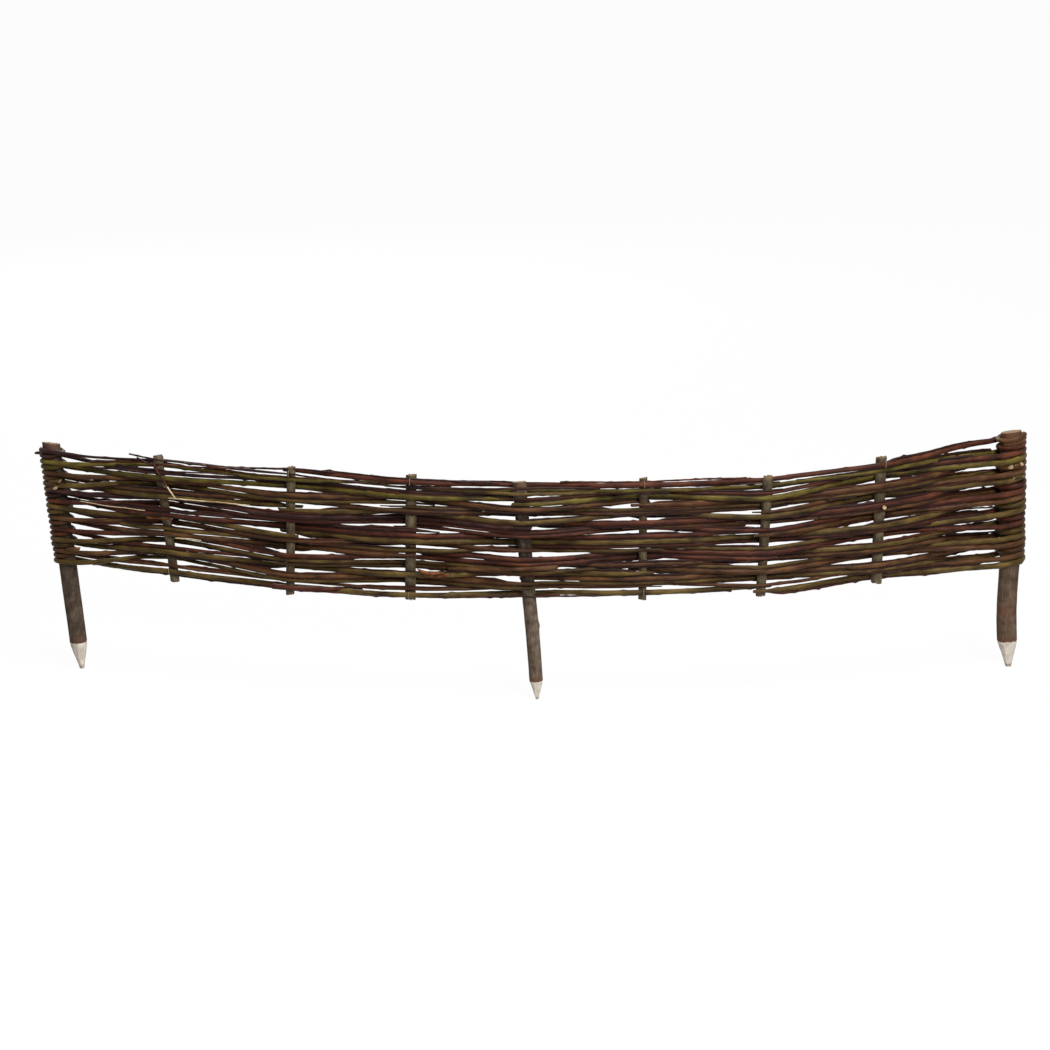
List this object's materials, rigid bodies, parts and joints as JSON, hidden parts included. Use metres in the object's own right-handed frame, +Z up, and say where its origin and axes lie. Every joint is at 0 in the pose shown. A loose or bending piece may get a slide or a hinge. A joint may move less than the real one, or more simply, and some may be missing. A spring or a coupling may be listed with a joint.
{
  "type": "woven willow lawn edging",
  "caption": "Low woven willow edging panel, bowed in plan, with rods coiled round pointed end stakes, a middle stake and short uprights.",
  "frame": {"origin": "on the ground under the middle of the panel's length and of the depth of its bow", "axes": "+X along the panel towards the right end seen from the outside of the bow, +Y towards the inside of the bow, +Z up"},
  "size_m": [1.1889, 0.159, 0.2968],
  "materials": {
    "stake_bark": "matte",
    "stick_bark": "matte",
    "willow_olive": "satin",
    "willow_brown": "satin",
    "willow_red": "satin",
    "willow_purple": "satin",
    "staple_wire": "satin"
  },
  "bodies": {
    "root": {"left_stake": "stake_bark", "middle_stake": "stake_bark", "right_stake": "stake_bark", "upright_1": "stick_bark", "upright_2": "stick_bark", "upright_3": "stick_bark", "upright_4": "stick_bark", "upright_5": "stick_bark", "upright_6": "stick_bark", "rod_left_01": "willow_olive", "rod_left_02": "willow_brown", "rod_left_03": "willow_olive", "rod_left_04": "willow_red", "rod_left_05": "willow_brown", "rod_left_06": "willow_olive", "rod_left_07": "willow_red", "rod_left_08": "willow_purple", "rod_left_09": "willow_olive", "rod_left_10": "willow_brown", "rod_left_11": "willow_olive", "rod_left_12": "willow_purple", "rod_right_01": "willow_olive", "rod_right_02": "willow_brown", "rod_right_03": "willow_brown", "rod_right_04": "willow_olive", "rod_right_05": "willow_red", "rod_right_06": "willow_olive", "rod_right_07": "willow_brown", "rod_right_08": "willow_red", "rod_right_09": "willow_olive", "rod_right_10": "willow_brown", "rod_right_11": "willow_olive", "rod_right_12": "willow_red", "staple_bottom_1": "staple_wire", "staple_bottom_2": "staple_wire", "staple_bottom_3": "staple_wire", "staple_bottom_4": "staple_wire", "staple_bottom_5": "staple_wire", "staple_bottom_6": "staple_wire", "staple_top_1": "staple_wire", "staple_top_2": "staple_wire", "staple_top_3": "staple_wire", "staple_top_4": "staple_wire", "staple_top_5": "staple_wire", "staple_top_6": "staple_wire"}
  },
  "joints": []
}
